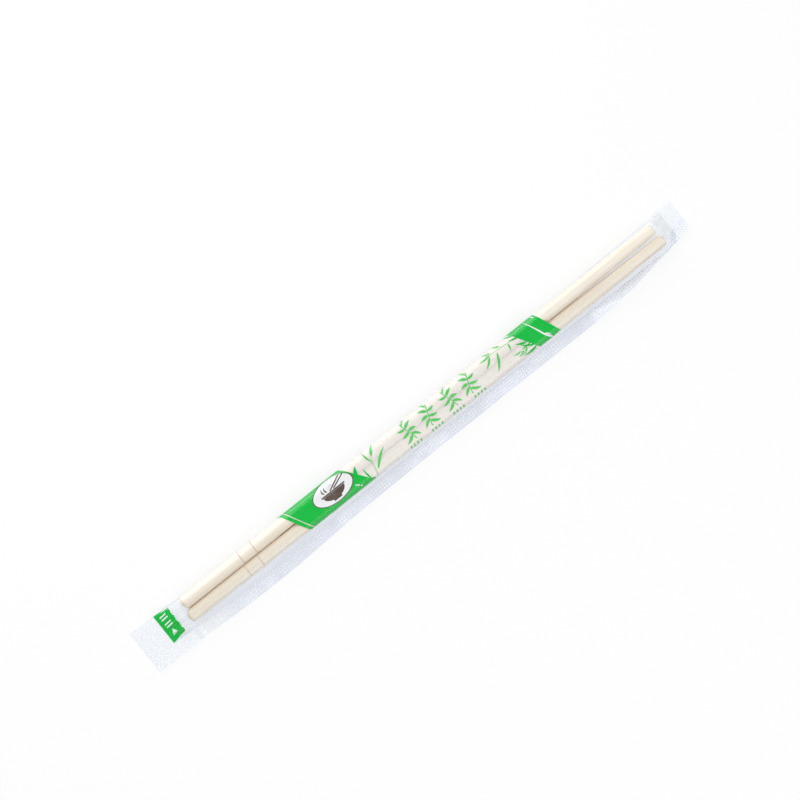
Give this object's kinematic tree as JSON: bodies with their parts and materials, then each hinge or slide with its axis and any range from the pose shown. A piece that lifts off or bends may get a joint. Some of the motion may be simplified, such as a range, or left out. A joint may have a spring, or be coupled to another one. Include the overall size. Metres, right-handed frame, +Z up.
{
  "type": "pair of disposable chopsticks in a film sleeve",
  "caption": "Round bamboo disposable chopsticks, sealed side by side in a clear flow-wrapped film sleeve with a crimped fin and end seals.",
  "frame": {"origin": "centre of the sleeve's length and width, on the surface that it lies on", "axes": "+X along the sticks from their thick ends to their tips, +Y away from the fin seal, +Z up"},
  "size_m": [0.2302, 0.0178, 0.0054],
  "materials": {
    "bamboo": "pale sanded bamboo with a fine straight grain",
    "film": "thin clear packing film, crimped at its seals",
    "green_print": "green ink under the film",
    "white_print": "thin white ink under the film",
    "dark_print": "dark brown ink under the film"
  },
  "bodies": {
    "root": {"long_stick": "bamboo", "short_stick": "bamboo", "film_sleeve": "film"}
  },
  "joints": []
}
